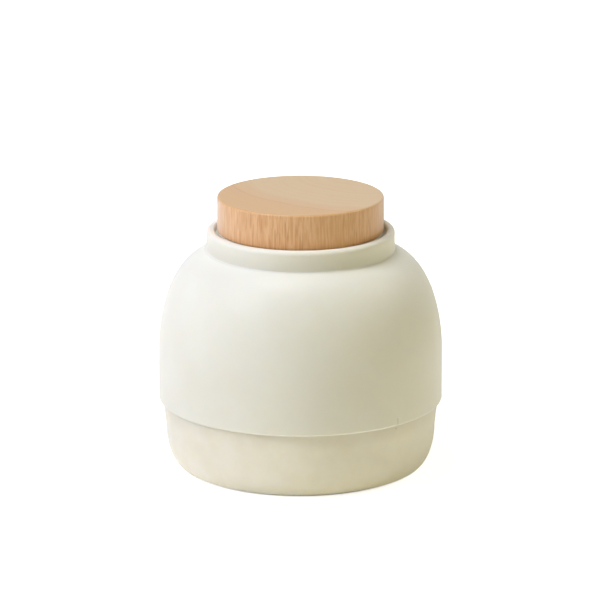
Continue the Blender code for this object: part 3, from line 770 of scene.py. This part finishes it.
def make_steel():
    """Satin stainless steel: a metal with fine turned rings in its tint, roughness and height."""
    look = bpy.data.materials.new("stainless_steel")
    look.use_nodes = True
    tree = look.node_tree
    principled = tree.nodes["Principled BSDF"]
    place = node(tree, "TexCoord").outputs["Object"]
    stretched = node(tree, "Mapping", {"Vector": place, "Scale": (1.0, 1.0, LINE_CLOSENESS)}).outputs[0]
    lines = node(tree, "TexNoise", {"Vector": stretched, "Scale": 1 / TURNED_LINE, "Detail": 3.0})
    tint = mixed(tree, lines.outputs[0], linear(196, 197, 199), linear(176, 178, 183))
    bump = node(tree, "Bump", {"Height": lines.outputs[0], "Distance": TURNED_LINE_DEPTH})
    tree.links.new(tint, principled.inputs["Base Color"])
    tree.links.new(ease(tree, lines.outputs[0], 0.2, 0.8, 0.22, 0.42), principled.inputs["Roughness"])
    tree.links.new(bump.outputs["Normal"], principled.inputs["Normal"])
    principled.inputs["Metallic"].default_value = 1.0
    return look


steel = make_steel()
for number in range(1, SCREW_COUNT + 1):
    screw_low, screw_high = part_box(f"lid_screw_{number}")
    screw_middle = (screw_low + screw_high) / 2
    head_radius = (screw_high.x - screw_low.x) / 2
    head_top = screw_low.z + HEAD_HEIGHT

    def screw_relief(r, t, z, foot=screw_low.z, top=head_top, tip=screw_high.z):
        """A thread as a triangle wave of z / pitch - t / 2 pi, and a cross pressed into the head."""
        phase = (z / THREAD_PITCH - t / (2 * math.pi)) % 1
        wave = np.clip(1 - 3 * np.abs(phase - 0.5), 0, 1)
        fade = np.clip((z - top - PLAIN_SHANK) / HEAD_FACE, 0, 1) * np.clip((tip - z) / SHANK_TIP, 0, 1)
        shank = (z > top + SHANK_MARGIN) & (r > SHANK_MARGIN)
        a, b = np.abs(r * np.cos(t)), np.abs(r * np.sin(t))
        along = np.maximum(np.maximum(a, b) - DRIVE_LENGTH / 2, np.minimum(a, b) - DRIVE_WIDTH / 2)
        pressed = DRIVE_DEPTH * np.clip(0.5 - along / DRIVE_SIDE, 0, 1)
        threaded = THREAD_DEPTH * wave * fade
        return np.where(shank, threaded, 0), np.where(z < foot + HEAD_FACE, pressed, 0)

    screw_section = [
        (0, screw_high.z, 0),
        (SHANK_RADIUS, screw_high.z - SHANK_TIP, SMALL_ROUND),
        (SHANK_RADIUS, head_top, SHANK_CORNER),
        (head_radius, head_top, SHANK_CORNER),
        (head_radius, screw_low.z, HEAD_ROUND),
        (0, screw_low.z, 0),
    ]
    screw_rows = outline(screw_section, pitch=0.00011)
    screw = turned(f"screw_{number}", screw_rows, around(SCREW_STEPS), screw_relief, screw_middle[:2])
    add_piece(f"screw_{number}", screw, steel, "stainless_steel", "lid", f"lid_screw_{number}")


# Wooden lid. A thick disc turned from pale rubberwood whose fibres stand upright: the top is end grain,
# with one faint growth line that curves across it, and the side shows upright streaks and vessel ticks.
# The top edge is softened, and the face is fine sanded and matt.
lid_low, lid_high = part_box("wooden_lid")
LID_TOP_ROUND = 0.0011
LID_FOOT_ROUND = 0.0008
PILOT_DEPTH = 0.0093
PITH = (0.0392, 0.0442)
RING_SWERVE = 0.009
GROWTH_LINE = 0.0782
GROWTH_LINE_WIDTH = 0.0009
# The side's lowest part, below a line with a soft fade, is painted shade: darker and more orange where the
# crest shades it.
LOW_SHADE_LINE = 0.1315
LOW_SHADE_FADE = 0.0050
LOW_SHADE_SHARE = 0.18
FIBRE_DEPTH = 0.00003
TICK_DENT = 0.5
INNER_WOOD = linear(222, 189, 139)
OUTER_WOOD = linear(222, 174, 111)
BAND_WOOD = linear(214, 169, 121)
LATE_WOOD = linear(196, 142, 98)
PORE = linear(181, 133, 89)
PALE_STREAK = linear(233, 189, 140)
DEEP_STREAK = linear(217, 165, 113)
BROAD_STREAK = linear(224, 174, 122)
VESSEL = linear(176, 118, 68)
RUBBED_WOOD = linear(228, 172, 110)
LOW_SHADE_WOOD = linear(214, 146, 80)


def upright_noise(tree, place, upright_scale, scale, detail, roughness=0.5):
    """A noise whose patches are drawn out along the fibres by one over the upright scale."""
    drawn = node(tree, "Mapping", {"Vector": place, "Scale": (1.0, 1.0, upright_scale)}).outputs[0]
    inputs = {"Vector": drawn, "Scale": scale, "Detail": detail, "Roughness": roughness}
    return node(tree, "TexNoise", inputs).outputs[0]


def make_wood():
    """Upright-grained wood: everything is drawn in the plan round the pith and stretched up the fibres."""
    look = bpy.data.materials.new("rubberwood")
    look.use_nodes = True
    tree = look.node_tree
    principled = tree.nodes["Principled BSDF"]
    spots = node(tree, "TexCoord")
    to_pith = (-PITH[0], -PITH[1], 0.0)
    centred = node(tree, "Mapping", {"Vector": spots.outputs["Object"], "Location": to_pith}).outputs[0]
    swerve = upright_noise(tree, centred, upright_scale=0.12, scale=30.0, detail=2.0)
    flat = node(tree, "VectorMath", {0: centred, 1: (1.0, 1.0, 0.0)}, operation="MULTIPLY").outputs[0]
    distance = node(tree, "VectorMath", {0: flat}, operation="LENGTH").outputs["Value"]
    ring = sums(tree, "MULTIPLY_ADD", sums(tree, "SUBTRACT", swerve, 0.5), RING_SWERVE, distance)

    band_noise = {"W": ring, "Scale": 190.0, "Detail": 4.0, "Roughness": 0.62}
    bands = node(tree, "TexNoise", band_noise, noise_dimensions="1D")
    outer_wood = ease(tree, ring, GROWTH_LINE - 0.014, GROWTH_LINE + 0.004)
    near_line = sums(tree, "ABSOLUTE", sums(tree, "SUBTRACT", ring, GROWTH_LINE))
    growth_line = ease(tree, near_line, GROWTH_LINE_WIDTH * 1.6, 0.0)

    streaks = upright_noise(tree, centred, upright_scale=0.09, scale=1000.0, detail=3.0, roughness=0.6)
    broad = upright_noise(tree, centred, upright_scale=0.09, scale=150.0, detail=2.0)
    ticks = upright_noise(tree, centred, upright_scale=0.06, scale=1300.0, detail=1.0, roughness=0.4)
    sparse = upright_noise(tree, centred, upright_scale=0.09, scale=95.0, detail=1.0)
    tick = sums(tree, "MULTIPLY", ease(tree, ticks, 0.58, 0.66), ease(tree, sparse, 0.40, 0.60))

    upright = node(tree, "SeparateXYZ", {0: spots.outputs["Normal"]}).outputs["Z"]
    end_grain = ease(tree, sums(tree, "ABSOLUTE", upright), 0.45, 0.9)
    side_share = sums(tree, "SUBTRACT", 1.0, end_grain)

    top_tone = mixed(tree, outer_wood, INNER_WOOD, OUTER_WOOD)
    top_tone = mixed(tree, ease(tree, bands.outputs[0], 0.35, 0.7, 0.0, 0.35), top_tone, BAND_WOOD)
    top_tone = mixed(tree, sums(tree, "MULTIPLY", growth_line, 0.35), top_tone, LATE_WOOD)
    top_tone = mixed(tree, sums(tree, "MULTIPLY", tick, 0.12), top_tone, PORE)

    side_tone = mixed(tree, ease(tree, streaks, 0.36, 0.64), PALE_STREAK, DEEP_STREAK)
    side_tone = mixed(tree, ease(tree, broad, 0.35, 0.65, 0.0, 0.5), side_tone, BROAD_STREAK)
    side_tone = mixed(tree, sums(tree, "MULTIPLY", tick, 0.4), side_tone, VESSEL)
    tone = mixed(tree, side_share, top_tone, side_tone)
    edge = node(tree, "Attribute", attribute_name="edge").outputs["Fac"]
    tone = mixed(tree, sums(tree, "MULTIPLY", edge, 0.35), tone, RUBBED_WOOD)
    height = node(tree, "SeparateXYZ", {0: spots.outputs["Object"]}).outputs["Z"]
    # Painted shade, darker and warmer, towards the foot of the lid's side.
    low_shade = sums(tree, "MULTIPLY", ease(tree, height, LOW_SHADE_LINE, LOW_SHADE_LINE - LOW_SHADE_FADE), LOW_SHADE_SHARE)
    tone = mixed(tree, low_shade, tone, LOW_SHADE_WOOD)

    dented = sums(tree, "MULTIPLY_ADD", tick, -TICK_DENT, streaks)
    bump = node(tree, "Bump", {"Height": dented, "Strength": 1.0, "Distance": FIBRE_DEPTH})
    rough = ease(tree, streaks, 0.2, 0.8, 0.38, 0.50)
    tree.links.new(tone, principled.inputs["Base Color"])
    tree.links.new(rough, principled.inputs["Roughness"])
    tree.links.new(bump.outputs["Normal"], principled.inputs["Normal"])
    principled.inputs["Sheen Weight"].default_value = 0.6
    principled.inputs["Sheen Roughness"].default_value = 0.4
    return look


lid_section = [
    (0, lid_high.z, 0),
    (lid_high.x, lid_high.z, LID_TOP_ROUND),
    (lid_high.x, lid_low.z, LID_FOOT_ROUND),
    (0, lid_low.z, 0),
]
pilots = pegs("pilot_holes", SCREW_HOLE_RADIUS, lid_low.z - HOLE_OVERRUN, lid_low.z + PILOT_DEPTH)
lid = carve(turned("lid_disc", outline(lid_section, pitch=0.0010), around(BODY_STEPS)), pilots)
add_piece("lid_disc", lid, make_wood(), "rubberwood", "lid", "wooden_lid")


# Studio. A white floor that runs out of sight, a white surround and six square soft lights: the key from
# the upper left, one high above, a warmer one from the right, and three weak ones close to the floor.
FLOOR_HALF = 4.0
NEAR_GLOW = 0.78
FAR_START = 0.15
FAR_END = 1.20
FLOOR_COLOUR = (0.96, 0.93, 0.84, 1.0)
GLOW_START = cup_flat - 0.0012
GLOW_END = cup_flat - 0.0007
LIGHT_SIZE = 0.55


def seen_directly(tree):
    """1 for a ray from the camera, a reflection or through glass, and 0 for light that bounces."""
    ray = node(tree, "LightPath").outputs
    mirrored = sums(tree, "MAXIMUM", ray["Is Glossy Ray"], ray["Is Transmission Ray"])
    return sums(tree, "MAXIMUM", ray["Is Camera Ray"], mirrored)


def make_floor_look():
    """White for the camera, with the shadow kept: a pale surface plus a glow that lights nothing.

    The glow starts just inside the edge of the cup's flat, and grows to full white far from the case.
    """
    look = bpy.data.materials.new("floor_paint")
    look.use_nodes = True
    tree = look.node_tree
    tree.nodes.clear()
    place = node(tree, "TexCoord").outputs["Object"]
    flat = node(tree, "VectorMath", {0: place, 1: (1.0, 1.0, 0.0)}, operation="MULTIPLY").outputs[0]
    distance = node(tree, "VectorMath", {0: flat}, operation="LENGTH").outputs["Value"]
    seen = seen_directly(tree)
    glow = sums(tree, "MULTIPLY", ease(tree, distance, GLOW_START, GLOW_END), seen)
    glow = sums(tree, "MULTIPLY", glow, ease(tree, distance, FAR_START, FAR_END, NEAR_GLOW, 1.0))
    light = node(tree, "Emission", {"Color": (1.0, 1.0, 1.0, 1.0), "Strength": glow})
    paint = node(tree, "BsdfDiffuse", {"Color": FLOOR_COLOUR})
    both = node(tree, "AddShader", {0: light.outputs[0], 1: paint.outputs[0]})
    node(tree, "OutputMaterial", {"Surface": both.outputs[0]})
    return look


floor_mesh = bpy.data.meshes.new("studio_floor")
floor_points = FLOOR_HALF * np.array([[-1, -1, 0], [1, -1, 0], [1, 1, 0], [-1, 1, 0]], float)
floor_mesh.from_pydata(floor_points.tolist(), [], [(0, 1, 2, 3)])
floor_mesh.materials.append(make_floor_look())
floor = bpy.data.objects.new("studio_floor", floor_mesh)
bpy.context.scene.collection.objects.link(floor)


def make_surround(fill_colour, fill_strength):
    """A white surround to the eye and in reflections, which lights the case only by the fill."""
    world = bpy.data.worlds.new("studio_surround")
    bpy.context.scene.world = world
    world.use_nodes = True
    tree = world.node_tree
    tree.nodes.clear()
    seen = seen_directly(tree)
    fill = node(tree, "Background", {"Color": fill_colour, "Strength": fill_strength})
    white_wall = node(tree, "Background", {"Color": (1.0, 1.0, 1.0, 1.0), "Strength": 1.0})
    either = node(tree, "MixShader", {0: seen, 1: fill.outputs[0], 2: white_wall.outputs[0]})
    node(tree, "OutputWorld", {"Surface": either.outputs[0]})


def soft_light(name, place, watts, colour):
    """A square soft light that faces the middle of the case."""
    lamp = bpy.data.lights.new(name, "AREA")
    lamp.shape = "SQUARE"
    lamp.size = LIGHT_SIZE
    lamp.energy = watts
    lamp.color = colour
    holder = bpy.data.objects.new(name, lamp)
    holder.location = place
    aim = Vector((0, 0, (lid_high.z + cup_low.z) / 2)) - Vector(place)
    holder.rotation_euler = aim.to_track_quat("-Z", "Y").to_euler()
    bpy.context.scene.collection.objects.link(holder)


make_surround(fill_colour=(1.0, 0.94, 0.69, 1.0), fill_strength=0.08)
soft_light("key_light", (-1.22, -0.71, 1.34), 17.5, (0.91, 0.91, 1.0))
soft_light("high_light", (-0.4, 0.0, 1.93), 16.0, (0.82, 0.85, 1.0))
soft_light("right_light", (1.41, 0.12, 1.34), 7.5, (1.0, 0.95, 0.74))
soft_light("low_left_light", (-1.83, -0.49, 0.24), 4.9, (0.65, 0.69, 1.0))
soft_light("low_front_light", (-0.65, -1.78, 0.24), 1.8, (0.95, 1.0, 0.6))
soft_light("low_right_light", (1.45, -1.22, 0.24), 2.7, (1.0, 0.82, 0.15))


# Camera. A long lens at the photograph's angle, 15.4 degrees down on the case's middle, and far enough
# away that the case hardly narrows towards its back.
VIEW_PITCH = math.radians(15.42)
VIEW_DISTANCE = 2.3771
VIEW_AIM_HEIGHT = 0.0871
VIEW_LENS = 276.0
SENSOR_WIDTH = 36.0
AXIS_OFFSET = -0.00027
lens = bpy.data.cameras.new("camera")
lens.lens = VIEW_LENS
lens.sensor_width = SENSOR_WIDTH
lens.clip_end = 50.0
camera = bpy.data.objects.new("camera", lens)
away, rise = VIEW_DISTANCE * math.cos(VIEW_PITCH), VIEW_DISTANCE * math.sin(VIEW_PITCH)
camera.location = (AXIS_OFFSET, -away, VIEW_AIM_HEIGHT + rise)
camera.rotation_euler = (math.pi / 2 - VIEW_PITCH, 0, 0)
bpy.context.scene.collection.objects.link(camera)
bpy.context.scene.camera = camera
bpy.context.scene.view_settings.view_transform = "Standard"
